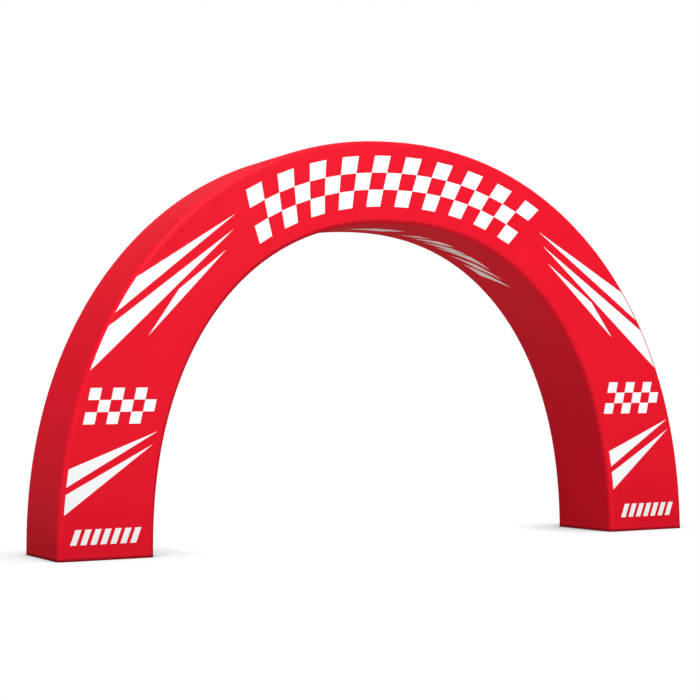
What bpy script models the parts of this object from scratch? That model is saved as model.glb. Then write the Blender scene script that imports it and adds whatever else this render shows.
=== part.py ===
"""Race finish arch: a sewn fabric cover stretched over a plain tube frame.

Frame of the part: origin on the floor under the middle of the arch, +X to the right seen from the front,
+Y from the front face to the back face, +Z up. All sizes are in metres.

The outside and the passage are both superellipses, |x / half width| ** n + |z / height| ** n = 1, cut off
at the floor. Every long piece is a section swept along one of them, through the same stations, so that
the pieces nest with an even gap.
"""

import math

import bmesh
import bpy
from mathutils import Vector

# The arch's outside and its passage
HALF_WIDTH = 3.0
HEIGHT = 3.435
OUTSIDE_EXPONENT = 2.12
PASSAGE_HALF_WIDTH = 2.205
PASSAGE_HEIGHT = 2.73
PASSAGE_EXPONENT = 2.22
DEPTH = 0.86

# Cloth, and the gap between pieces that touch
CLOTH = 0.002
GAP = 0.0003

# Frame
RAIL_RADIUS = 0.040
RIB_COUNT = 9
RIB_TUBE = 0.040
RIB_THICKNESS = 0.030
PLATE_THICKNESS = 0.005
PLATE_CLEARANCE = 0.002

# The cloth turns round the rails, and its seams lie in the faces where the turn begins
EDGE_RADIUS = RAIL_RADIUS + GAP + CLOTH

# Facets: an odd number of segments puts the middle rib halfway along a straight one
SEGMENTS = 41
QUARTER_STEPS = 4
RAIL_SIDES = 4 * QUARTER_STEPS

# Colours (linear), roughness and metallic value
LOOKS = {
    "cover": ((0.78, 0.014, 0.028), 0.62, 0.0),
    "cover_side": ((0.62, 0.010, 0.020), 0.62, 0.0),
    "tube": ((0.60, 0.61, 0.62), 0.38, 1.0),
    "plate": ((0.34, 0.35, 0.36), 0.48, 1.0),
}


class Station:
    """A point of an outline in the XZ plane, with the outline's outward normal there."""

    def __init__(self, half_width, height, exponent, turn):
        across, up = math.cos(turn), math.sin(turn)
        power = 2.0 / exponent
        x = half_width * math.copysign(abs(across) ** power, across)
        z = height * abs(up) ** power if up > 1e-9 else 0.0
        slope_x = math.copysign(abs(x / half_width) ** (exponent - 1) / half_width, x)
        slope_z = abs(z / height) ** (exponent - 1) / height
        self.point = Vector((x, 0.0, z))
        self.normal = Vector((slope_x, 0.0, slope_z)).normalized()

    def inside(self, inset, y):
        """The point this far inside the outline, at this depth."""
        spot = self.point - inset * self.normal
        return Vector((spot.x, y, spot.z))


def stations(half_width, height, exponent):
    """Stations from the right foot over the crown to the left foot."""
    return [
        Station(half_width, height, exponent, math.pi * i / SEGMENTS)
        for i in range(SEGMENTS + 1)
    ]


OUTSIDE = stations(HALF_WIDTH, HEIGHT, OUTSIDE_EXPONENT)
PASSAGE = stations(PASSAGE_HALF_WIDTH, PASSAGE_HEIGHT, PASSAGE_EXPONENT)


def material(name, look):
    """A Principled material with one of the looks."""
    colour, roughness, metallic = LOOKS[look]
    made = bpy.data.materials.new(name)
    made.use_nodes = True
    shader = made.node_tree.nodes["Principled BSDF"]
    shader.inputs["Base Color"].default_value = (*colour, 1.0)
    shader.inputs["Roughness"].default_value = roughness
    shader.inputs["Metallic"].default_value = metallic
    return made


def add_object(name, shape, look, smooth_below=None):
    """Turns a bmesh into an object. Edges that turn by less than smooth_below degrees are shaded smooth."""
    bmesh.ops.recalc_face_normals(shape, faces=shape.faces)
    mesh = bpy.data.meshes.new(name)
    shape.to_mesh(mesh)
    shape.free()
    if smooth_below:
        mesh.shade_smooth()
        mesh.set_sharp_from_angle(angle=math.radians(smooth_below))
    mesh.materials.append(material(name, look))
    made = bpy.data.objects.new(name, mesh)
    bpy.context.collection.objects.link(made)
    return made


def swept(sections):
    """A closed solid through a row of like loops of points, capped at both ends."""
    shape = bmesh.new()
    loops = [[shape.verts.new(spot) for spot in section] for section in sections]
    for near, far in zip(loops, loops[1:]):
        for i in range(len(near)):
            j = (i + 1) % len(near)
            shape.faces.new((near[i], near[j], far[j], far[i]))
    shape.faces.new(loops[0])
    shape.faces.new(loops[-1])
    return shape


def make_panel(name, outer_y, inner_y):
    """A flat face of the cover, between the seams, with its two skins at these depths."""
    inset = EDGE_RADIUS + GAP
    sections = []
    for outer, inner in zip(OUTSIDE, PASSAGE):
        sections.append(
            [
                outer.inside(inset, outer_y),
                inner.inside(-inset, outer_y),
                inner.inside(-inset, inner_y),
                outer.inside(inset, inner_y),
            ]
        )
    return add_object(name, swept(sections), "cover")


def band_profile(depth_in):
    """One skin of a band, from its front seam to its back seam, as (inset, y) pairs.

    depth_in is how far the skin lies inside the outer one.
    """
    radius = EDGE_RADIUS - depth_in
    centre = DEPTH / 2 - EDGE_RADIUS
    pairs = []
    for side in (-1, 1):
        for step in range(QUARTER_STEPS + 1):
            turn = math.pi / 2 * step / QUARTER_STEPS
            if side < 0:
                turn = math.pi / 2 - turn
            pairs.append((EDGE_RADIUS - radius * math.cos(turn), side * (centre + radius * math.sin(turn))))
    return pairs


def make_band(name, line, way):
    """A strip along an outline, wrapped round both edges. way is 1 outside, -1 in the passage."""
    profile = band_profile(0.0) + band_profile(CLOTH)[::-1]
    sections = [[spot.inside(way * inset, y) for inset, y in profile] for spot in line]
    return add_object(name, swept(sections), "cover_side", smooth_below=30)


def make_rail(name, line, way, side):
    """A round tube under one rounded edge, standing on the base plates."""
    foot = Vector((0.0, 0.0, PLATE_THICKNESS + GAP))
    sections = []
    for index, spot in enumerate(line):
        lift = foot if index in (0, SEGMENTS) else Vector()
        section = []
        for step in range(RAIL_SIDES):
            turn = 2 * math.pi * step / RAIL_SIDES
            inset = way * (EDGE_RADIUS - RAIL_RADIUS * math.cos(turn))
            y = side * (DEPTH / 2 - EDGE_RADIUS) + RAIL_RADIUS * math.sin(turn)
            section.append(spot.inside(inset, y) + lift)
        sections.append(section)
    return add_object(name, swept(sections), "tube", smooth_below=40)


def rail_line(line, way, segment):
    """Middle and direction of the rails' axis in one segment of an outline."""
    start = line[segment].inside(way * EDGE_RADIUS, 0.0)
    end = line[segment + 1].inside(way * EDGE_RADIUS, 0.0)
    return (start + end) / 2, (end - start).normalized()


def make_rib(name, segment):
    """A flat ring across the arch, with its corners cut off to lie against the four rails."""
    outer_middle, outer_way = rail_line(OUTSIDE, 1, segment)
    inner_middle, inner_way = rail_line(PASSAGE, -1, segment)
    across = (outer_middle - inner_middle).normalized()
    depthwise = Vector((0.0, 1.0, 0.0))
    along = across.cross(depthwise)
    half_across = (outer_middle - inner_middle).length / 2
    half_deep = DEPTH / 2 - EDGE_RADIUS
    middle = (outer_middle + inner_middle) / 2

    def ring(tube_side):
        """The ring's outer edge for tube_side 1, its inner edge for -1."""
        corners = []
        for x_way, y_way in ((1, 1), (-1, 1), (-1, -1), (1, -1)):
            rail_way = outer_way if x_way > 0 else inner_way
            lean = abs(rail_way.dot(across) / rail_way.dot(along))
            clear = RAIL_RADIUS + GAP + RIB_THICKNESS / 2 * lean / math.sqrt(2)
            if tube_side < 0:
                clear += RIB_TUBE
            side = tube_side * RIB_TUBE / 2
            cut = side + clear * math.sqrt(2)
            on_end = (x_way * (half_across + side), y_way * (half_deep - cut))
            on_side = (x_way * (half_across - cut), y_way * (half_deep + side))
            corners += [on_end, on_side] if x_way * y_way > 0 else [on_side, on_end]
        return corners

    shape = bmesh.new()
    loops = []
    for corners in (ring(1), ring(-1)):
        for offset in (-RIB_THICKNESS / 2, RIB_THICKNESS / 2):
            base = middle + offset * along
            loops.append([shape.verts.new(base + u * across + v * depthwise) for u, v in corners])
    outer_low, outer_high, inner_low, inner_high = loops
    count = len(outer_low)
    for near, far in (
        (outer_low, outer_high),
        (outer_high, inner_high),
        (inner_high, inner_low),
        (inner_low, outer_low),
    ):
        for i in range(count):
            j = (i + 1) % count
            shape.faces.new((near[i], near[j], far[j], far[i]))
    return add_object(name, shape, "tube")


def make_base_plate(name, end):
    """The plate inside one foot's hem. end is the station at that foot: 0 right, -1 left."""
    inset = CLOTH + PLATE_CLEARANCE
    ring = [OUTSIDE[end].inside(u, y) for u, y in band_profile(inset)]
    ring += [PASSAGE[end].inside(-u, y) for u, y in band_profile(inset)[::-1]]
    top = [spot + Vector((0.0, 0.0, PLATE_THICKNESS)) for spot in ring]
    return add_object(name, swept([ring, top]), "plate")


def main():
    for old in list(bpy.data.objects):
        bpy.data.objects.remove(old, do_unlink=True)

    face = DEPTH / 2
    make_panel("front_panel", -face, -face + CLOTH)
    make_panel("back_panel", face, face - CLOTH)
    make_band("outer_band", OUTSIDE, 1)
    make_band("inner_band", PASSAGE, -1)

    for side_name, side in (("front", -1), ("back", 1)):
        make_rail(f"rail_{side_name}_outer", OUTSIDE, 1, side)
        make_rail(f"rail_{side_name}_inner", PASSAGE, -1, side)

    for index in range(RIB_COUNT):
        segment = round(index * (SEGMENTS - 1) / (RIB_COUNT - 1))
        make_rib(f"rib_{index + 1}", segment)

    make_base_plate("base_plate_right", 0)
    make_base_plate("base_plate_left", -1)


main()
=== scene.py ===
"""Looks of the race finish arch: its sewn and printed cover, its metal, and the floor, light and camera.

Each piece of the cover is laid out flat first, with its print as patches of the flat piece, and then set in
place on the frame. Sizes are in metres, in the frame of the part: +X to the right seen from the printed
front, +Y from the front to the back, +Z up.
"""

import math
from bisect import bisect_left

import bpy
from mathutils import Matrix, Vector, geometry, noise


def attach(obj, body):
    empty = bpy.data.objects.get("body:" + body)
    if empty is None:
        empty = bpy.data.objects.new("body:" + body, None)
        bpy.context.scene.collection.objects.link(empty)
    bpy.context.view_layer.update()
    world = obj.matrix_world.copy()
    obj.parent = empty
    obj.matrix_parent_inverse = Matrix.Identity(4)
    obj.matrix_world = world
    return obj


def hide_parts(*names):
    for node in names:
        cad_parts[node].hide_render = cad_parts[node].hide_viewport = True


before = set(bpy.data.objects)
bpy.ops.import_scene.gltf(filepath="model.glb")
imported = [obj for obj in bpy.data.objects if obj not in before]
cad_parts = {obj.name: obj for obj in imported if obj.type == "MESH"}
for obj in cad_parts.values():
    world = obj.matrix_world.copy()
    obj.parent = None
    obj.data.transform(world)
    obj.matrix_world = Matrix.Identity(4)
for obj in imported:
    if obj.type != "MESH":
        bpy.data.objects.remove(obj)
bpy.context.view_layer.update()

# The arch, as the part has it
HALF_WIDTH, HEIGHT, OUTSIDE_EXPONENT = 3.0, 3.435, 2.12
PASSAGE_HALF_WIDTH, PASSAGE_HEIGHT, PASSAGE_EXPONENT = 2.205, 2.73, 2.22
DEPTH = 0.86
EDGE_RADIUS = 0.0423
CLOTH = 0.001
SEAM_GAP = 0.0001

# The rails under the rounded edges, which are straight between their bends and so leave the curve a little
RAIL_RADIUS = 0.040
RAIL_CLEARANCE = 0.0003
RAIL_CHORD_RISE = 0.0025

# How finely the cloth is divided
ROW_STEP = 0.018
COLUMN_STEP = 0.030
TURN_STEPS = 8
NEAR_SEAM = (0.0, 0.003, 0.008, 0.016)
NEAR_BAND_SEAM = 0.002
NEAR_HEM = 0.004
MARK_STEP = 0.025
SAME_POINT = 1e-6
SHARP_FROM = 40.0

# The cloth's small unevenness: a dip at each seam, puckers that reach from it into the face or over the turn,
# slack away from it, and the hem's fold
SEAM_DIP, SEAM_DIP_REACH = 0.0007, 0.0035
PUCKER_HEIGHT, PUCKER_PER_METRE = 0.0011, 8.0
FINE_PUCKERS, FINE_SHARE = 2.3, 0.5
FACE_REACH, TURN_REACH = 0.080, 0.045
SLACK_HEIGHT, SLACK_PER_METRE, SLACK_FROM_SEAM = 0.0030, 0.9, 0.12
HEM_HEIGHT, HEM_FOLD, HEM_STEP = 0.032, 0.0009, 0.002

# Places far apart in the noise, so that no two seams or sheets are alike
PUCKERS_APART = (3.1, 7.7)
FINE_PUCKERS_APART = (5.7, 2.9)
FACES_APART, BANDS_APART = 4.0, 9.0

# A crease's section: a trough with a low shoulder on both sides, in widths. It deepens away from the seam.
SHOULDER_SHARE, SHOULDER_AT, SHOULDER_NARROWING = 0.45, 1.5, 2
CREASE_ENDS = 3
AT_SEAM, FULL_FROM_SEAM = 0.15, 0.03

# Creases drawn in by the seams. Each has its place along the outline from the crown, its width and depth, its
# reach into the face and its lean.
FRONT_OUTER_CREASES = (
    (-2.72, 0.030, 0.0047, 0.100, 0.15),
    (-2.49, 0.024, 0.0076, 0.130, 0.10),
    (-2.37, 0.020, 0.0083, 0.140, -0.05),
    (-2.21, 0.026, 0.0079, 0.150, 0.12),
    (-2.02, 0.024, 0.0065, 0.130, -0.10),
    (-1.82, 0.028, 0.0054, 0.120, 0.08),
    (-1.64, 0.022, 0.0047, 0.110, 0.00),
    (-1.45, 0.026, 0.0040, 0.100, 0.15),
    (-1.28, 0.022, 0.0032, 0.090, -0.12),
    (0.62, 0.028, 0.0029, 0.090, 0.10),
    (1.30, 0.026, 0.0036, 0.100, -0.08),
    (1.72, 0.022, 0.0043, 0.110, 0.10),
    (2.08, 0.028, 0.0036, 0.100, 0.00),
    (3.55, 0.030, 0.0029, 0.090, 0.10),
)
FRONT_INNER_CREASES = (
    (-2.95, 0.030, 0.0016, 0.080, 0.10),
    (-1.10, 0.026, 0.0018, 0.090, -0.10),
    (-0.35, 0.024, 0.0014, 0.070, 0.05),
    (1.25, 0.026, 0.0020, 0.090, 0.12),
    (1.52, 0.022, 0.0022, 0.080, -0.06),
    (2.70, 0.030, 0.0014, 0.080, 0.00),
)
BACK_CREASES = (
    (-2.60, 0.028, 0.0030, 0.120, 0.10),
    (-2.05, 0.024, 0.0034, 0.130, -0.08),
    (-1.35, 0.028, 0.0022, 0.100, 0.12),
    (0.85, 0.026, 0.0020, 0.090, 0.00),
    (1.70, 0.024, 0.0034, 0.130, -0.12),
    (1.95, 0.022, 0.0036, 0.140, 0.06),
    (2.45, 0.028, 0.0028, 0.120, 0.10),
)

# Colours (linear)
RED = (0.800, 0.0062, 0.0225)
WHITE = (0.985, 0.975, 0.98)
# The lining's white print is tinted pink: painted red light bounced inside the arch
LINING_BOUNCE_TINTED_WHITE = (0.98, 0.82, 0.79)
THREAD_RED = (0.62, 0.010, 0.020)
ALUMINIUM = (0.74, 0.75, 0.77)


class Outline:
    """A superellipse arch that ends at the floor. along is measured from the crown, positive towards +X."""

    SAMPLES = 3000

    def __init__(self, half_width, height, exponent):
        self.half_width, self.height, self.exponent = half_width, height, exponent
        spots = [self.at_turn(math.pi * i / self.SAMPLES)[0] for i in range(self.SAMPLES + 1)]
        self.run = [0.0]
        for near, far in zip(spots, spots[1:]):
            self.run.append(self.run[-1] + (far - near).length)
        self.length = self.run[-1]

    def at_turn(self, turn):
        """Point and outward normal at a turn from the right foot (0) to the left foot (pi)."""
        across, up = math.cos(turn), max(math.sin(turn), 0.0)
        power = 2.0 / self.exponent
        x = self.half_width * math.copysign(abs(across) ** power, across)
        z = self.height * up**power if up > 1e-9 else 0.0
        slope_x = math.copysign(abs(x / self.half_width) ** (self.exponent - 1) / self.half_width, x)
        slope_z = (z / self.height) ** (self.exponent - 1) / self.height
        return Vector((x, 0.0, z)), Vector((slope_x, 0.0, slope_z)).normalized()

    def turn_at(self, along):
        """The turn at a distance from the crown."""
        goal = min(max(self.length / 2 - along, 0.0), self.length)
        high = min(max(bisect_left(self.run, goal), 1), self.SAMPLES)
        low = high - 1
        share = (goal - self.run[low]) / (self.run[high] - self.run[low])
        return math.pi * (low + share) / self.SAMPLES

    def along_at(self, x, z):
        """How far along the outline a point close to it lies."""
        across = math.copysign(abs(x / self.half_width) ** (self.exponent / 2), x)
        up = abs(z / self.height) ** (self.exponent / 2)
        place = math.atan2(up, across) / math.pi * self.SAMPLES
        low = min(int(place), self.SAMPLES - 1)
        return self.length / 2 - self.run[low] - (place - low) * (self.run[low + 1] - self.run[low])

    def depth_inside(self, x, z):
        """Nearly how far a point close to the outline lies inside it."""
        u, v = abs(x) / self.half_width, abs(z) / self.height
        total = u**self.exponent + v**self.exponent
        reach = total ** (1 / self.exponent)
        lead = total ** (1 / self.exponent - 1)
        slope_x = lead * u ** (self.exponent - 1) / self.half_width
        slope_z = lead * v ** (self.exponent - 1) / self.height
        return (1 - reach) / math.hypot(slope_x, slope_z)


OUTSIDE = Outline(HALF_WIDTH, HEIGHT, OUTSIDE_EXPONENT)
PASSAGE = Outline(PASSAGE_HALF_WIDTH, PASSAGE_HEIGHT, PASSAGE_EXPONENT)
MIDDLE = Outline(
    (HALF_WIDTH + PASSAGE_HALF_WIDTH) / 2,
    (HEIGHT + PASSAGE_HEIGHT) / 2,
    (OUTSIDE_EXPONENT + PASSAGE_EXPONENT) / 2,
)
FLAT_HALF = DEPTH / 2 - EDGE_RADIUS
BAND_HALF = FLAT_HALF + EDGE_RADIUS * math.pi / 2


# Places on the faces and bands


def face_spot(along, across):
    """A point of a face: along its middle line, and across from 0 at the inner seam to 1 at the outer."""
    turn = MIDDLE.turn_at(along)
    inset = EDGE_RADIUS + SEAM_GAP
    outer, outer_normal = OUTSIDE.at_turn(turn)
    inner, inner_normal = PASSAGE.at_turn(turn)
    outer = outer - inset * outer_normal
    inner = inner + inset * inner_normal
    return inner.lerp(outer, across)


def smooth_step(value, low, high):
    """0 below low, 1 above high, and a soft step between."""
    share = min(max((value - low) / (high - low), 0.0), 1.0)
    return share * share * (3 - 2 * share)


def seam_shape(line, side, along, away, reach):
    """What one seam does to the cloth: its dip, slight puckers, and the creases placed along it.

    line is 1 for an outer seam and -1 for an inner one, side -1 in front and 1 behind. away is the distance
    from the seam, and reach is how far the puckers go.
    """
    by_line, by_side = PUCKERS_APART
    ripple = noise.noise(Vector((along * PUCKER_PER_METRE, line * by_line, side * by_side)))
    by_line, by_side = FINE_PUCKERS_APART
    fine = Vector((along * PUCKER_PER_METRE * FINE_PUCKERS, line * by_line, side * by_side))
    ripple += FINE_SHARE * noise.noise(fine)
    shape = PUCKER_HEIGHT * ripple * math.exp(-away / reach)
    front_creases = FRONT_OUTER_CREASES if line > 0 else FRONT_INNER_CREASES
    for middle, width, depth, length, lean in BACK_CREASES if side > 0 else front_creases:
        offset = (along - middle - lean * away) / width
        if abs(offset) < CREASE_ENDS:
            shoulder = math.exp(-((abs(offset) - SHOULDER_AT) ** 2) * SHOULDER_NARROWING)
            trough = math.exp(-offset * offset) - SHOULDER_SHARE * shoulder
            rise = AT_SEAM + (1 - AT_SEAM) * smooth_step(away, 0.0, FULL_FROM_SEAM)
            fade = math.exp(-((away / length) ** 2)) * min(reach / FACE_REACH, 1.0)
            shape -= depth * trough * rise * fade
    return shape - SEAM_DIP * math.exp(-away / SEAM_DIP_REACH)


def kept_off_rail(lift, away):
    """A lift that sinks no farther than the rail below lets it. away is how far the rail's line is."""
    if lift >= 0:
        return lift
    off_line = min(max(away - RAIL_CHORD_RISE, 0.0), RAIL_RADIUS)
    room = EDGE_RADIUS - CLOTH - RAIL_CLEARANCE - math.sqrt(RAIL_RADIUS**2 - off_line**2)
    return -room * math.tanh(-lift / room)


def hem_shape(z):
    """The double fold of the hem above the floor."""
    return HEM_FOLD * (1 - smooth_step(z, HEM_HEIGHT - HEM_STEP, HEM_HEIGHT + HEM_STEP))


def on_face(side):
    """Sets a flat piece in the front (side -1) or back (side 1) plane. Its flat coordinates are x and z."""

    def place(x, z):
        from_outer = max(OUTSIDE.depth_inside(x, z) - EDGE_RADIUS, 0.0)
        from_inner = max(-PASSAGE.depth_inside(x, z) - EDGE_RADIUS, 0.0)
        slack = SLACK_HEIGHT * noise.noise(Vector((x, z, side * FACES_APART)) * SLACK_PER_METRE)
        lift = slack * smooth_step(min(from_outer, from_inner), 0.0, SLACK_FROM_SEAM)
        lift += seam_shape(1, side, OUTSIDE.along_at(x, z), from_outer, FACE_REACH)
        lift += seam_shape(-1, side, PASSAGE.along_at(x, z), from_inner, FACE_REACH)
        lift = kept_off_rail(lift, min(from_outer, from_inner))
        return Vector((x, side * (DEPTH / 2 + lift + hem_shape(z)), z))

    return place


def on_band(outline, way):
    """Wraps a flat strip round an outline. Its flat coordinates run along the arch and from front to back.

    In the passage it lies a little proud of the outline, where the rails' straight stretches come nearest.
    """
    ease = RAIL_CHORD_RISE if way < 0 else 0.0

    def place(along, across):
        point, normal = outline.at_turn(outline.turn_at(along))
        normal = way * normal
        side = math.copysign(1.0, across)
        turn = min(max(abs(across) - FLAT_HALF, 0.0) / EDGE_RADIUS, math.pi / 2)
        facing = math.cos(turn) * normal + Vector((0.0, side * math.sin(turn), 0.0))
        spot = point - EDGE_RADIUS * (1 - math.cos(turn)) * normal
        spot.y = across if turn == 0 else side * (FLAT_HALF + EDGE_RADIUS * math.sin(turn))
        slack = SLACK_HEIGHT * noise.noise(Vector((along, across, way * BANDS_APART)) * SLACK_PER_METRE)
        lift = slack * smooth_step(FLAT_HALF - abs(across), 0.0, SLACK_FROM_SEAM)
        lift += seam_shape(way, side, along, max(BAND_HALF - abs(across), 0.0), TURN_REACH)
        lift = kept_off_rail(lift, max(FLAT_HALF - abs(across), 0.0)) + ease * math.cos(turn)
        return spot + (lift + hem_shape(spot.z)) * facing

    return place


# Flat layouts: rows of points, their outline and the marks on them

BESIDE_HEM = (0.0, HEM_HEIGHT - NEAR_HEM, HEM_HEIGHT, HEM_HEIGHT + NEAR_HEM)


def spread(low, high, step, ends=()):
    """Even places from low to high, with closer ones at both ends."""
    first, last = low + (ends[-1] if ends else 0.0), high - (ends[-1] if ends else 0.0)
    count = max(round((last - first) / step), 1)
    even = [first + (last - first) * i / count for i in range(count + 1)]
    return [low + e for e in ends[:-1]] + even + [high - e for e in reversed(ends[:-1])]


def face_rows():
    """The flat grid of a face, in x and z, row by row from the left foot to the right."""
    rows = []
    for along in spread(-MIDDLE.length / 2, MIDDLE.length / 2, ROW_STEP, BESIDE_HEM):
        start, end = face_spot(along, 0.0), face_spot(along, 1.0)
        width = (end - start).length
        row = []
        for reach in spread(0.0, width, COLUMN_STEP, NEAR_SEAM):
            spot = start.lerp(end, reach / width)
            row.append((spot.x, spot.z))
        rows.append(row)
    return rows


def band_rows(outline):
    """The flat grid of a band: along the arch, and from the front seam to the back seam."""
    alongs = spread(-outline.length / 2, outline.length / 2, ROW_STEP, BESIDE_HEM)
    turn_width = BAND_HALF - FLAT_HALF
    turned = [FLAT_HALF + turn_width * i / TURN_STEPS for i in range(1, TURN_STEPS + 1)]
    outer = sorted(turned + [BAND_HALF - NEAR_BAND_SEAM])
    across = [-v for v in reversed(outer)] + spread(-FLAT_HALF, FLAT_HALF, COLUMN_STEP) + outer
    return [[(along, v) for v in across] for along in alongs]


def edge_of(rows):
    """The grid's outline, as one loop of grid points."""
    loop = [row[0] for row in rows]
    loop += rows[-1][1:-1]
    loop += [row[-1] for row in reversed(rows)]
    loop += list(reversed(rows[0][1:-1]))
    return loop


def divided(corners):
    """A polygon with points added along its sides."""
    made = []
    for (x0, y0), (x1, y1) in zip(corners, corners[1:] + corners[:1]):
        count = max(math.ceil(math.hypot(x1 - x0, y1 - y0) / MARK_STEP), 1)
        made += [(x0 + (x1 - x0) * i / count, y0 + (y1 - y0) * i / count) for i in range(count)]
    return made


def clockwise(loop):
    """True if a loop of flat points runs clockwise."""
    doubled = sum(a[0] * b[1] - b[0] * a[1] for a, b in zip(loop, loop[1:] + loop[:1]))
    return doubled < 0


def lay_out(rows, marks):
    """Triangles of a flat piece: points, faces, and for each face whether it lies in a mark."""
    points, loops = [], []
    edge = edge_of(rows)
    for loop in [edge] + [divided(mark) for mark in marks]:
        if clockwise(loop):
            loop = loop[::-1]
        loops.append(list(range(len(points), len(points) + len(loop))))
        points += loop
    for row in rows[1:-1]:
        points += row[1:-1]
    flat = [Vector(p) for p in points]
    spots, _, faces, _, _, origins = geometry.delaunay_2d_cdt(flat, [], loops, 1, SAME_POINT)
    kept = [(face, any(i > 0 for i in origin)) for face, origin in zip(faces, origins) if 0 in origin]
    return spots, [face for face, _ in kept], [marked for _, marked in kept]


def sewn_piece(name, rows, place, materials, marks=(), flipped=False):
    """A printed sheet: laid out flat, set in place and given its thickness."""
    spots, faces, marked = lay_out(rows, list(marks))
    used = sorted({corner for face in faces for corner in face})
    renumbered = {old: new for new, old in enumerate(used)}
    spots = [spots[old] for old in used]
    faces = [tuple(renumbered[corner] for corner in face) for face in faces]
    if flipped:
        faces = [tuple(reversed(face)) for face in faces]
    mesh = bpy.data.meshes.new(name)
    mesh.from_pydata([place(s.x, s.y) for s in spots], [], faces)
    flat = mesh.uv_layers.new(name="flat")
    for polygon, in_mark in zip(mesh.polygons, marked):
        polygon.material_index = 1 if in_mark else 0
        for corner in polygon.loop_indices:
            flat.data[corner].uv = spots[mesh.loops[corner].vertex_index]
    for item in materials:
        mesh.materials.append(item)
    piece = bpy.data.objects.new(name, mesh)
    bpy.context.collection.objects.link(piece)
    thickness = piece.modifiers.new("thickness", "SOLIDIFY")
    thickness.thickness = CLOTH
    thickness.offset = -1
    thickness.use_even_offset = True
    thickened = piece.evaluated_get(bpy.context.evaluated_depsgraph_get())
    finished = bpy.data.meshes.new_from_object(thickened)
    finished.shade_smooth()
    finished.set_sharp_from_angle(angle=math.radians(SHARP_FROM))
    piece.modifiers.clear()
    piece.data = finished
    finished.name = name
    return piece


# Print: patches of the flat front face, in x and z, and of the flat bands, along and across

# Crown chequers: cell, rows and columns, lowest line as a share of the face, slant of a row, and middle
CHEQUER_CELL = 0.145
CHEQUER_ROWS, CHEQUER_COLUMNS = 3, 19
CHEQUER_LOW = 0.16
CHEQUER_SLANT = 0.04
CHEQUER_MIDDLE = -0.07

# Leg chequers: cell, rows and columns, slant of a row, and the middle of each patch
LEG_CELL = 0.095
LEG_ROWS, LEG_COLUMNS = 3, 6
LEG_SLANT = 0.022
LEG_PATCH_MIDDLES = ((-2.470, 1.205), (2.460, 1.215))

# Foot bars: number and pitch, width, height and slant, and each row's lower left corner
BAR_COUNT, BAR_PITCH, BAR_WIDTH, BAR_HEIGHT, BAR_SLANT = 7, 0.082, 0.050, 0.120, 0.045
BAR_STARTS = ((-2.900, 0.125), (2.315, 0.128))

# How far streaks are drawn past the seam that cuts them off, as a share, and how far print goes round it
PAST_SEAM = 1.15
PRINT_ROUND_EDGE = 0.018

# Crown streaks that the outer seam cuts off: the inner tip and the two ends at the seam
SEAM_STREAKS = (
    {"tip": (-1.475, 2.758), "upper": (-2.377, 2.196), "lower": (-2.536, 1.918)},
    {"tip": (-1.491, 2.632), "upper": (-2.603, 1.806), "lower": (-2.749, 1.458)},
    {"tip": (1.469, 2.705), "upper": (2.335, 2.191), "lower": (2.496, 1.940)},
    {"tip": (1.516, 2.577), "upper": (2.558, 1.836), "lower": (2.720, 1.487)},
)

# Crown streaks that end on the face, by their corners
INNER_STREAKS = (
    [(-1.560, 2.461), (-1.973, 2.136), (-2.237, 1.760)],
    [(1.562, 2.424), (2.027, 2.081), (2.241, 1.768)],
)

# Leg streaks, which rise to the right on both legs: the tip and the two ends at the seam on its left
LEG_STREAKS = (
    {"tip": (-2.166, 0.999), "upper": (-2.922, 0.710), "lower": (-2.935, 0.570)},
    {"tip": (-2.207, 0.898), "upper": (-2.944, 0.512), "lower": (-2.955, 0.352)},
    {"tip": (2.846, 1.012), "upper": (2.215, 0.740), "lower": (2.228, 0.602)},
    {"tip": (2.850, 0.919), "upper": (2.235, 0.548), "lower": (2.242, 0.390)},
)

# Dashes on the lining, at the crown and right of it: their four corners, along and across
LINING_DASHES = (
    {"start": (-0.18, 0.130), "front": (0.06, 0.010), "end": (0.34, 0.000), "back": (0.19, 0.165)},
    {"start": (0.41, 0.225), "front": (0.52, 0.068), "end": (0.63, 0.025), "back": (0.53, 0.138)},
    {"start": (0.54, 0.220), "front": (0.70, 0.015), "end": (0.85, -0.030), "back": (0.77, 0.078)},
    {"start": (0.66, 0.230), "front": (0.86, 0.040), "end": (1.00, -0.005), "back": (0.91, 0.122)},
    {"start": (0.80, 0.235), "front": (1.04, -0.018), "end": (1.26, -0.045), "back": (1.09, 0.058)},
    {"start": (0.97, 0.240), "front": (1.16, 0.072), "end": (1.41, -0.058), "back": (1.21, 0.128)},
    {"start": (1.13, 0.240), "front": (1.27, 0.120), "end": (1.52, -0.075), "back": (1.32, 0.198)},
)


def beyond(tip, end):
    """The point past a streak's end, outside the seam that cuts it off."""
    return (tip[0] + (end[0] - tip[0]) * PAST_SEAM, tip[1] + (end[1] - tip[1]) * PAST_SEAM)


def crown_chequers():
    """A chequered ribbon that follows the crown."""
    start = CHEQUER_MIDDLE - CHEQUER_CELL * CHEQUER_COLUMNS / 2
    face_width = (HEIGHT - PASSAGE_HEIGHT) - 2 * EDGE_RADIUS
    rise = CHEQUER_CELL / face_width
    cells = []
    for row in range(CHEQUER_ROWS):
        for column in range(CHEQUER_COLUMNS):
            if (row + column) % 2:
                continue
            cell = []
            for right, up in ((0, 0), (1, 0), (1, 1), (0, 1)):
                along = start + (column + right) * CHEQUER_CELL + (row + up) * CHEQUER_SLANT
                spot = face_spot(along, CHEQUER_LOW + (row + up) * rise)
                cell.append((spot.x, spot.z))
            cells.append(cell)
    return cells


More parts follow.
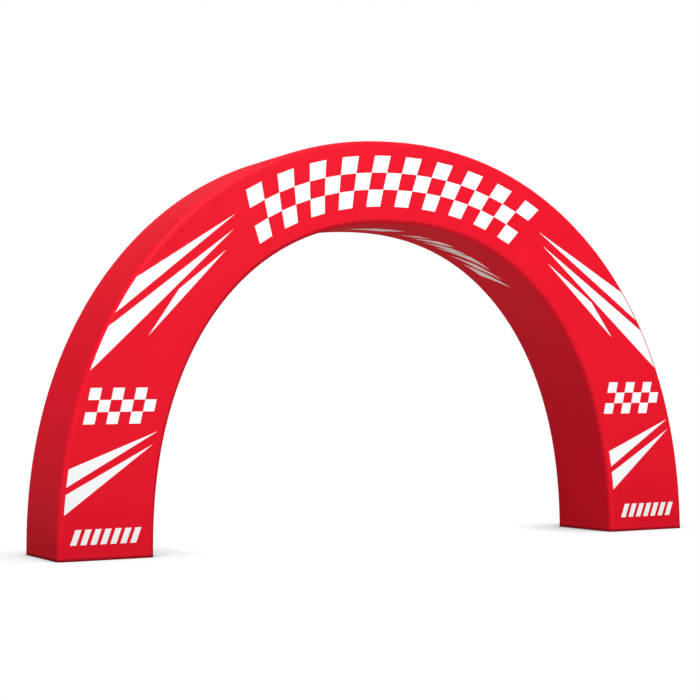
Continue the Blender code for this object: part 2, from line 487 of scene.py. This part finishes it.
def leg_chequers(middle):
    """A small upright chequered patch on a leg."""
    cells = []
    for row in range(LEG_ROWS):
        for column in range(LEG_COLUMNS):
            if (row + column) % 2:
                continue
            cell = []
            for right, up in ((0, 0), (1, 0), (1, 1), (0, 1)):
                height = row + up - LEG_ROWS / 2
                x = middle[0] + (column + right - LEG_COLUMNS / 2) * LEG_CELL + height * LEG_SLANT
                cell.append((x, middle[1] + height * LEG_CELL))
            cells.append(cell)
    return cells


def foot_bars(start):
    """A row of slanted bars near a hem."""
    bars = []
    for index in range(BAR_COUNT):
        x, z = start[0] + index * BAR_PITCH, start[1]
        top = z + BAR_HEIGHT
        bars.append([(x, z), (x + BAR_WIDTH, z), (x + BAR_WIDTH + BAR_SLANT, top), (x + BAR_SLANT, top)])
    return bars


def front_marks():
    """All white patches of the front face."""
    marks = crown_chequers()
    marks += INNER_STREAKS
    for streak in SEAM_STREAKS + LEG_STREAKS:
        tip = streak["tip"]
        marks.append([tip, beyond(tip, streak["upper"]), beyond(tip, streak["lower"])])
    for middle in LEG_PATCH_MIDDLES:
        marks += leg_chequers(middle)
    for start in BAR_STARTS:
        marks += foot_bars(start)
    return marks


def on_line(start, end, share):
    """A point of a straight line."""
    return (start[0] + (end[0] - start[0]) * share, start[1] + (end[1] - start[1]) * share)


# Where along a streak's side its end is sought, as shares of its length, and in how many halvings
SEARCH_SHARES, SEARCH_STEPS = (0.5, 1.3), 30


def where_inset(tip, end, inset):
    """Where a streak's side, from its tip past its end, comes this close to the outside."""
    low, high = SEARCH_SHARES
    for _ in range(SEARCH_STEPS):
        middle = (low + high) / 2
        if OUTSIDE.depth_inside(*on_line(tip, end, middle)) > inset:
            low = middle
        else:
            high = middle
    return on_line(tip, end, low)


def edge_marks():
    """The wide ends of the crown streaks, where they run on over the seam round the front edge."""
    marks = []
    for streak in SEAM_STREAKS:
        beside_seam, over_edge = [], []
        for end in (streak["upper"], streak["lower"]):
            at_seam = OUTSIDE.along_at(*where_inset(streak["tip"], end, EDGE_RADIUS))
            farther = OUTSIDE.along_at(*where_inset(streak["tip"], end, EDGE_RADIUS - PRINT_ROUND_EDGE))
            beside_seam.append((2 * at_seam - farther, -BAND_HALF - PRINT_ROUND_EDGE))
            over_edge.append((farther, -BAND_HALF + PRINT_ROUND_EDGE))
        marks.append(beside_seam + over_edge[::-1])
    return marks


def lining_marks():
    """Slim slanted dashes on the lining, on both sides of the crown."""
    marks = []
    for dash in LINING_DASHES:
        corners = [dash[corner] for corner in ("start", "front", "end", "back")]
        marks.append(corners)
        if dash["start"][0] > 0:
            marks.append([(-along, across) for along, across in corners])
    return marks


# Stitching

STITCH_PITCH, STITCH_LENGTH, STITCH_RADIUS = 0.0055, 0.0040, 0.0005
STITCH_FROM_SEAM = 0.006

# A stitch's section and how far its middle stands off the cloth, in radii
STITCH_ASIDE, STITCH_UP, STITCH_DOWN, STITCH_LIFT = 1.0, 1.4, 0.4, 0.3


def add_stitch(points, faces, spot, way, facing):
    """One stitch: a slim spindle that lies on the cloth."""
    side = way.cross(facing).normalized()
    base = len(points)
    half = STITCH_LENGTH / 2
    ring = (
        (side, STITCH_ASIDE),
        (facing, STITCH_UP),
        (-side, STITCH_ASIDE),
        (-facing, STITCH_DOWN),
    )
    points.append(spot - half * way)
    points += [spot + STITCH_RADIUS * share * direction for direction, share in ring]
    points.append(spot + half * way)
    last = len(points) - 1
    for i in range(len(ring)):
        j = (i + 1) % len(ring)
        faces.append((base, base + 1 + j, base + 1 + i))
        faces.append((last, base + 1 + i, base + 1 + j))


def stitched(name, lines, item):
    """Rows of stitches. Each line is (place, flat points, outward).

    place sets a flat point in place, and outward gives the way that the cloth faces there.
    """
    points, faces = [], []
    for place, line, outward in lines:
        spots = [place(u, v) for u, v in line]
        for index, (near, far) in enumerate(zip(spots, spots[1:])):
            facing = outward(*line[index])
            way = (far - near).normalized()
            middle = (near + far) / 2 + facing * STITCH_RADIUS * STITCH_LIFT
            add_stitch(points, faces, middle, way, facing)
    mesh = bpy.data.meshes.new(name)
    mesh.from_pydata(points, [], faces)
    mesh.materials.append(item)
    piece = bpy.data.objects.new(name, mesh)
    bpy.context.collection.objects.link(piece)
    return piece


def seam_line(outline, way):
    """Flat points of a face beside one of its seams, a stitch apart."""
    count = round(outline.length / STITCH_PITCH)
    line = []
    for index in range(count + 1):
        along = outline.length * (0.5 - index / count)
        point, normal = outline.at_turn(outline.turn_at(along))
        spot = point - way * (EDGE_RADIUS + STITCH_FROM_SEAM) * normal
        line.append((spot.x, spot.z))
    return line


def band_line(outline, across):
    """Flat points of a band beside its seam, a stitch apart."""
    count = round(outline.length / STITCH_PITCH)
    return [(outline.length * (0.5 - index / count), across) for index in range(count + 1)]


# Materials. Noise is given by its scale and detail, and shades by their lowest and highest factor.

# The range that most of the noise lies in
NOISE_LOW, NOISE_HIGH = 0.3, 0.7


def new_material(name):
    """An empty node material: its nodes, its links and its Principled shader."""
    item = bpy.data.materials.new(name)
    item.use_nodes = True
    tree = item.node_tree
    return item, tree.nodes, tree.links, tree.nodes["Principled BSDF"]


def add_node(nodes, kind, **settings):
    """A node with its settings: inputs by socket name, everything else as attributes."""
    node = nodes.new(kind)
    for key, value in settings.items():
        if key in node.inputs:
            node.inputs[key].default_value = value
        else:
            setattr(node, key, value)
    return node


def noise_node(nodes, links, vector, scale, detail):
    """A noise texture on the given coordinates."""
    node = add_node(nodes, "ShaderNodeTexNoise", Scale=scale, Detail=detail)
    links.new(vector, node.inputs["Vector"])
    return node


def ranged(nodes, links, value, low, high, from_low=NOISE_LOW, from_high=NOISE_HIGH):
    """A value carried from one range to another, by default from the range of the noise."""
    node = add_node(nodes, "ShaderNodeMapRange")
    node.inputs["From Min"].default_value = from_low
    node.inputs["From Max"].default_value = from_high
    node.inputs["To Min"].default_value = low
    node.inputs["To Max"].default_value = high
    links.new(value, node.inputs["Value"])
    return node.outputs["Result"]


# Weave: a thread's width, the wave texture's radians for each unit of its scale, unevenness and relief.
# A wave is two threads long.
WEAVE_PITCH = 0.0012
WAVE_RADIANS = 20
WEAVE_DISTORTION, WEAVE_DETAIL = 0.4, 1.0
WEAVE_DEPTH, WEAVE_RELIEF = 0.00012, 0.35
WEAVE_SHADES = (0.93, 1.03)

# Mottling, broad over the arch and fine in the cloth
BROAD_NOISE, BROAD_SHADES = (2.2, 4.0), (0.975, 1.02)
FINE_NOISE, FINE_SHADES = (160.0, 2.0), (0.96, 1.03)

# Dust above the floor, and painted contact shadow: the hem darkened towards the floor
DUST_COLOUR = (0.30, 0.10, 0.09, 1.0)
DUST_NOISE, DUST_SHARE, DUST_HEIGHT = (9.0, 5.0), 0.04, 0.10
HEM_PAINTED_SHADOW, HEM_SHADOW_LOW, HEM_SHADOW_HIGH = 0.25, 0.002, 0.034

# Gloss of the cloth
RED_ROUGHNESS, WHITE_ROUGHNESS = 0.53, 0.52
SMOOTHER, ROUGHER = 0.04, 0.05
CLOTH_SPECULAR = 0.10
SHEEN, SHEEN_ROUGHNESS = 0.01, 0.45
SHEEN_TINT = (1.0, 0.60, 0.60, 1.0)

# Thread
THREAD_NOISE, THREAD_SHADES = (900.0, 2.0), (0.8, 1.15)
THREAD_ROUGHNESS, THREAD_SHEEN = 0.5, 0.3

# Metal
TUBE_ROUGHNESS, PLATE_ROUGHNESS = 0.38, 0.50
CLOUDY_NOISE, CLOUDY_SHADES = (6.0, 5.0), (0.86, 1.05)
GRAIN_NOISE, GRAIN_SMOOTHER, GRAIN_ROUGHER = (240.0, 3.0), 0.08, 0.1
GRAIN_RELIEF, GRAIN_DEPTH = 0.15, 0.0002


def cloth_material(name, colour, roughness):
    """Printed woven polyester: a fine crossed weave, soft mottling, a little dust above the floor, and
    painted shadow along the hem.
    """
    item, nodes, links, shader = new_material(name)
    flat = add_node(nodes, "ShaderNodeUVMap", uv_map="flat").outputs["UV"]
    place = add_node(nodes, "ShaderNodeTexCoord").outputs["Object"]

    waves = []
    for direction in ("X", "Y"):
        wave = add_node(nodes, "ShaderNodeTexWave", wave_type="BANDS", bands_direction=direction)
        wave.inputs["Scale"].default_value = 1 / WEAVE_PITCH / WAVE_RADIANS * math.pi
        wave.inputs["Distortion"].default_value = WEAVE_DISTORTION
        wave.inputs["Detail"].default_value = WEAVE_DETAIL
        links.new(flat, wave.inputs["Vector"])
        waves.append(wave.outputs["Fac"])
    weave = add_node(nodes, "ShaderNodeMath", operation="MULTIPLY")
    links.new(waves[0], weave.inputs[0])
    links.new(waves[1], weave.inputs[1])

    broad = noise_node(nodes, links, place, *BROAD_NOISE)
    fine = noise_node(nodes, links, flat, *FINE_NOISE)
    shade = add_node(nodes, "ShaderNodeMath", operation="MULTIPLY")
    links.new(ranged(nodes, links, broad.outputs["Fac"], *BROAD_SHADES), shade.inputs[0])
    links.new(ranged(nodes, links, fine.outputs["Fac"], *FINE_SHADES), shade.inputs[1])
    deepen = add_node(nodes, "ShaderNodeMath", operation="MULTIPLY")
    links.new(shade.outputs[0], deepen.inputs[0])
    links.new(ranged(nodes, links, weave.outputs[0], *WEAVE_SHADES, 0.0, 1.0), deepen.inputs[1])

    tinted = add_node(nodes, "ShaderNodeVectorMath", operation="SCALE")
    tinted.inputs[0].default_value = colour
    links.new(deepen.outputs[0], tinted.inputs["Scale"])

    height = add_node(nodes, "ShaderNodeSeparateXYZ")
    links.new(place, height.inputs[0])
    low_down = ranged(nodes, links, height.outputs["Z"], DUST_SHARE, 0.0, 0.0, DUST_HEIGHT)
    dusty = add_node(nodes, "ShaderNodeMath", operation="MULTIPLY")
    links.new(low_down, dusty.inputs[0])
    links.new(noise_node(nodes, links, place, *DUST_NOISE).outputs["Fac"], dusty.inputs[1])
    dust = add_node(nodes, "ShaderNodeMix", data_type="RGBA")
    dust.inputs["B"].default_value = DUST_COLOUR
    links.new(dusty.outputs[0], dust.inputs["Factor"])
    links.new(tinted.outputs["Vector"], dust.inputs["A"])
    # Painted contact shadow: the colour darkens over the hem's lowest few centimetres
    hem_shadow = ranged(nodes, links, height.outputs["Z"], HEM_PAINTED_SHADOW, 1.0, HEM_SHADOW_LOW, HEM_SHADOW_HIGH)
    darkened = add_node(nodes, "ShaderNodeVectorMath", operation="SCALE")
    links.new(dust.outputs["Result"], darkened.inputs[0])
    links.new(hem_shadow, darkened.inputs["Scale"])
    links.new(darkened.outputs["Vector"], shader.inputs["Base Color"])

    gloss = ranged(nodes, links, broad.outputs["Fac"], roughness - SMOOTHER, roughness + ROUGHER)
    links.new(gloss, shader.inputs["Roughness"])
    shader.inputs["Specular IOR Level"].default_value = CLOTH_SPECULAR
    shader.inputs["Sheen Weight"].default_value = SHEEN
    shader.inputs["Sheen Roughness"].default_value = SHEEN_ROUGHNESS
    shader.inputs["Sheen Tint"].default_value = SHEEN_TINT

    bump = add_node(nodes, "ShaderNodeBump", Strength=WEAVE_RELIEF, Distance=WEAVE_DEPTH)
    links.new(weave.outputs[0], bump.inputs["Height"])
    links.new(bump.outputs["Normal"], shader.inputs["Normal"])
    return item


def thread_material(name, colour):
    """Twisted sewing thread."""
    item, nodes, links, shader = new_material(name)
    place = add_node(nodes, "ShaderNodeTexCoord").outputs["Object"]
    grain = noise_node(nodes, links, place, *THREAD_NOISE)
    tinted = add_node(nodes, "ShaderNodeVectorMath", operation="SCALE")
    tinted.inputs[0].default_value = colour
    links.new(ranged(nodes, links, grain.outputs["Fac"], *THREAD_SHADES), tinted.inputs["Scale"])
    links.new(tinted.outputs["Vector"], shader.inputs["Base Color"])
    shader.inputs["Roughness"].default_value = THREAD_ROUGHNESS
    shader.inputs["Sheen Weight"].default_value = THREAD_SHEEN
    return item


def metal_material(name, roughness):
    """Mill-finish aluminium, a little drawn and handled."""
    item, nodes, links, shader = new_material(name)
    place = add_node(nodes, "ShaderNodeTexCoord").outputs["Object"]
    cloudy = noise_node(nodes, links, place, *CLOUDY_NOISE)
    grain = noise_node(nodes, links, place, *GRAIN_NOISE)
    tinted = add_node(nodes, "ShaderNodeVectorMath", operation="SCALE")
    tinted.inputs[0].default_value = ALUMINIUM
    links.new(ranged(nodes, links, cloudy.outputs["Fac"], *CLOUDY_SHADES), tinted.inputs["Scale"])
    links.new(tinted.outputs["Vector"], shader.inputs["Base Color"])
    shader.inputs["Metallic"].default_value = 1.0
    low, high = roughness - GRAIN_SMOOTHER, roughness + GRAIN_ROUGHER
    links.new(ranged(nodes, links, grain.outputs["Fac"], low, high), shader.inputs["Roughness"])
    bump = add_node(nodes, "ShaderNodeBump", Strength=GRAIN_RELIEF, Distance=GRAIN_DEPTH)
    links.new(grain.outputs["Fac"], bump.inputs["Height"])
    links.new(bump.outputs["Normal"], shader.inputs["Normal"])
    return item


# Camera, from the photo: it stands left of the arch, about chest high, and looks slightly up

CAMERA_PLACE = Vector((-7.203, -13.571, 1.232))
CAMERA_YAW, CAMERA_PITCH, CAMERA_ROLL = 27.236, 1.610, -0.729
FOCAL_PIXELS, PHOTO_PIXELS, SENSOR_MM = 1758.0, 700, 36.0
SEES_TO = 200.0


def add_camera():
    """The camera at the photo's viewing angle."""
    yaw, pitch, roll = (math.radians(v) for v in (CAMERA_YAW, CAMERA_PITCH, CAMERA_ROLL))
    forward = Vector((math.sin(yaw) * math.cos(pitch), math.cos(yaw) * math.cos(pitch), math.sin(pitch)))
    level = Vector((math.cos(yaw), -math.sin(yaw), 0.0))
    upright = level.cross(forward)
    right = math.cos(roll) * level + math.sin(roll) * upright
    up = math.cos(roll) * upright - math.sin(roll) * level
    data = bpy.data.cameras.new("camera")
    data.sensor_width = SENSOR_MM
    data.lens = FOCAL_PIXELS * SENSOR_MM / PHOTO_PIXELS
    data.clip_end = SEES_TO
    made = bpy.data.objects.new("camera", data)
    turned = Matrix((right, up, -forward)).transposed().to_4x4()
    made.matrix_world = Matrix.Translation(CAMERA_PLACE) @ turned
    bpy.context.collection.objects.link(made)
    bpy.context.scene.camera = made


# Floor and light. Strengths are what a white matt surface that faces the light would show.

FLOOR_HALF = 60.0

# Contact shadows, each by its reach and darkest value, as felt from the open side: outward, forward and up.
# Outward turns over between the feet, within this distance of the middle.
CONTACT_SHADOWS = ((0.50, 0.28), (0.09, 0.45))
OPEN_OUTWARD, OPEN_FORWARD, OPEN_UPWARD = 0.25, 0.65, 0.70
TURNS_OVER = 0.1

# Light that the floor throws back near a foot and far from it, and where near ends and far begins
FELT_NEAR, FELT_FAR = 0.10, 0.66
FELT_FROM, FELT_TO = 0.3, 2.5
FOOT_MIDDLE = (HALF_WIDTH + PASSAGE_HALF_WIDTH) / 2

# The surround, as the camera sees it and as it lights the arch
SKY_SEEN, SKY_FELT = 1.0, 0.04

# Suns: azimuth from the front towards the left, height and spread in degrees, and whether they make gloss
SUNS = (
    {"name": "key", "azimuth": 20.6, "height": 60.0, "strength": 1.02, "spread": 25.0, "gloss": True},
    {"name": "left", "azimuth": 70.0, "height": 5.0, "strength": 0.19, "spread": 30.0, "gloss": False},
    {"name": "back", "azimuth": -150.0, "height": 25.0, "strength": 0.50, "spread": 60.0, "gloss": False},
    {"name": "top", "azimuth": 90.0, "height": 86.0, "strength": 0.13, "spread": 30.0, "gloss": False},
)
SUN_DISTANCE = 12.0

# The lamp in front, a disc
FRONT_PLACE, FRONT_AIM = Vector((0.4, -8.9, 6.6)), Vector((0.0, 0.0, 2.6))
FRONT_SIZE, FRONT_STRENGTH = 4.0, 0.35


def add_floor():
    """A floor that looks white but for contact shadows at the feet, and throws back some of the light."""
    mesh = bpy.data.meshes.new("floor")
    half = FLOOR_HALF
    corners = [(-half, -half, 0), (half, -half, 0), (half, half, 0), (-half, half, 0)]
    mesh.from_pydata(corners, [], [(0, 1, 2, 3)])
    item, nodes, links, shader = new_material("floor")
    nodes.remove(shader)
    place = add_node(nodes, "ShaderNodeTexCoord").outputs["Object"]
    sides = add_node(nodes, "ShaderNodeSeparateXYZ")
    links.new(place, sides.inputs[0])
    turn_over = (-OPEN_OUTWARD, OPEN_OUTWARD, -TURNS_OVER, TURNS_OVER)
    outward = ranged(nodes, links, sides.outputs["X"], *turn_over)
    open_way = add_node(nodes, "ShaderNodeCombineXYZ", Y=-OPEN_FORWARD, Z=OPEN_UPWARD)
    links.new(outward, open_way.inputs["X"])
    seen = add_node(nodes, "ShaderNodeMath", operation="MULTIPLY")
    for socket, (reach, darkest) in enumerate(CONTACT_SHADOWS):
        open_share = add_node(nodes, "ShaderNodeAmbientOcclusion", Distance=reach)
        links.new(open_way.outputs[0], open_share.inputs["Normal"])
        shadow = ranged(nodes, links, open_share.outputs["AO"], darkest, SKY_SEEN, 0.0, 1.0)
        links.new(shadow, seen.inputs[socket])

    mirrored = add_node(nodes, "ShaderNodeVectorMath", operation="ABSOLUTE")
    links.new(place, mirrored.inputs[0])
    from_foot = add_node(nodes, "ShaderNodeVectorMath", operation="DISTANCE")
    from_foot.inputs[1].default_value = (FOOT_MIDDLE, 0.0, 0.0)
    links.new(mirrored.outputs["Vector"], from_foot.inputs[0])
    felt = ranged(nodes, links, from_foot.outputs["Value"], FELT_NEAR, FELT_FAR, FELT_FROM, FELT_TO)

    path = add_node(nodes, "ShaderNodeLightPath")
    level = add_node(nodes, "ShaderNodeMix", data_type="FLOAT")
    links.new(path.outputs["Is Camera Ray"], level.inputs["Factor"])
    links.new(felt, level.inputs["A"])
    links.new(seen.outputs[0], level.inputs["B"])
    glow = add_node(nodes, "ShaderNodeEmission")
    links.new(level.outputs["Result"], glow.inputs["Strength"])
    links.new(glow.outputs[0], nodes["Material Output"].inputs["Surface"])
    mesh.materials.append(item)
    made = bpy.data.objects.new("floor", mesh)
    made.visible_glossy = False
    bpy.context.collection.objects.link(made)


def place_lamp(lamp, place, aim, gloss=True):
    """Puts a lamp in the scene, turned to what it lights, with or without gloss from it."""
    made = bpy.data.objects.new(lamp.name, lamp)
    made.location = place
    made.rotation_mode = "QUATERNION"
    made.rotation_quaternion = (place - aim).to_track_quat("Z", "Y")
    made.visible_glossy = gloss
    bpy.context.collection.objects.link(made)


def add_light():
    """A white surround, suns (the strongest from the upper left front) and a lamp in front."""
    world = bpy.data.worlds.new("studio")
    world.use_nodes = True
    nodes, links = world.node_tree.nodes, world.node_tree.links
    sky = nodes["Background"]
    sky.inputs["Color"].default_value = (1.0, 1.0, 1.0, 1.0)
    path = add_node(nodes, "ShaderNodeLightPath")
    level = add_node(nodes, "ShaderNodeMapRange")
    level.inputs["To Min"].default_value = SKY_FELT
    level.inputs["To Max"].default_value = SKY_SEEN
    links.new(path.outputs["Is Camera Ray"], level.inputs["Value"])
    links.new(level.outputs["Result"], sky.inputs["Strength"])
    bpy.context.scene.world = world

    for sun in SUNS:
        azimuth, height = math.radians(sun["azimuth"]), math.radians(sun["height"])
        level_way = Vector((-math.sin(azimuth), -math.cos(azimuth), 0.0))
        lamp = bpy.data.lights.new(sun["name"], "SUN")
        lamp.energy = sun["strength"] * math.pi
        lamp.angle = math.radians(sun["spread"])
        way = math.cos(height) * level_way + Vector((0.0, 0.0, math.sin(height)))
        place_lamp(lamp, SUN_DISTANCE * way, Vector(), sun["gloss"])

    front = bpy.data.lights.new("front", "AREA")
    front.shape = "DISK"
    front.size = FRONT_SIZE
    front.energy = FRONT_STRENGTH * math.pi**2 * (FRONT_PLACE - FRONT_AIM).length_squared
    place_lamp(front, FRONT_PLACE, FRONT_AIM)


# The cover


def dress(piece, slot, *nodes):
    """Puts a piece on the part's one body and hides the solids it stands for. slot is not used."""
    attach(piece, "root")
    if nodes:
        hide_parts(*nodes)


def make_cover():
    """The four sewn pieces and their stitching."""
    red = cloth_material("red_cloth", RED, RED_ROUGHNESS)
    white = cloth_material("white_print", WHITE, WHITE_ROUGHNESS)
    # Pink-tinted white for the lining's print: painted red bounce light
    bounce_tinted_white = cloth_material("bounce_tinted_white_print", LINING_BOUNCE_TINTED_WHITE, WHITE_ROUGHNESS)
    thread = thread_material("red_thread", THREAD_RED)
    bands = ((OUTSIDE, 1, "outer_cloth", "outer_band"), (PASSAGE, -1, "inner_cloth", "inner_band"))

    rows = face_rows()
    for name, node, side in (("front_cloth", "front_panel", -1), ("back_cloth", "back_panel", 1)):
        marks = front_marks() if side < 0 else ()
        piece = sewn_piece(name, rows, on_face(side), (red, white), marks, flipped=side > 0)
        dress(piece, "cover", node)

    for outline, way, name, node in bands:
        marks = lining_marks() if way < 0 else edge_marks()
        place = on_band(outline, way)
        printed = (red, bounce_tinted_white if way < 0 else white)
        piece = sewn_piece(name, band_rows(outline), place, printed, marks, flipped=way < 0)
        dress(piece, "cover", node)

    for side_name, side in (("front", -1), ("back", 1)):
        lines = []
        for outline, way in ((OUTSIDE, 1), (PASSAGE, -1)):
            lines.append((on_face(side), seam_line(outline, way), face_facing(side)))
            along_band = band_line(outline, side * (BAND_HALF - STITCH_FROM_SEAM))
            lines.append((on_band(outline, way), along_band, band_facing(outline, way, side)))
        dress(stitched(f"stitching_{side_name}", lines, thread), "cover")


def face_facing(side):
    """The direction that a face looks in, which is the same all over."""

    def facing(_x, _z):
        return Vector((0.0, side, 0.0))

    return facing


def band_facing(outline, way, side):
    """The direction that a band faces, a stitch's distance from its seam."""
    turn = math.pi / 2 - STITCH_FROM_SEAM / EDGE_RADIUS

    def facing(along, _across):
        normal = outline.at_turn(outline.turn_at(along))[1]
        return way * math.cos(turn) * normal + Vector((0.0, side * math.sin(turn), 0.0))

    return facing


def finish_metal():
    """The frame's own solids keep their shape and get a metal finish."""
    tube = metal_material("tube_metal", TUBE_ROUGHNESS)
    plate = metal_material("plate_metal", PLATE_ROUGHNESS)
    for name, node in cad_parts.items():
        if name.startswith(("rail_", "rib_", "base_plate_")):
            item = plate if name.startswith("base_plate_") else tube
            for slot in node.material_slots:
                slot.material = item


def main():
    bpy.context.scene.view_settings.view_transform = "Standard"
    add_camera()
    add_floor()
    add_light()
    make_cover()
    finish_metal()


main()
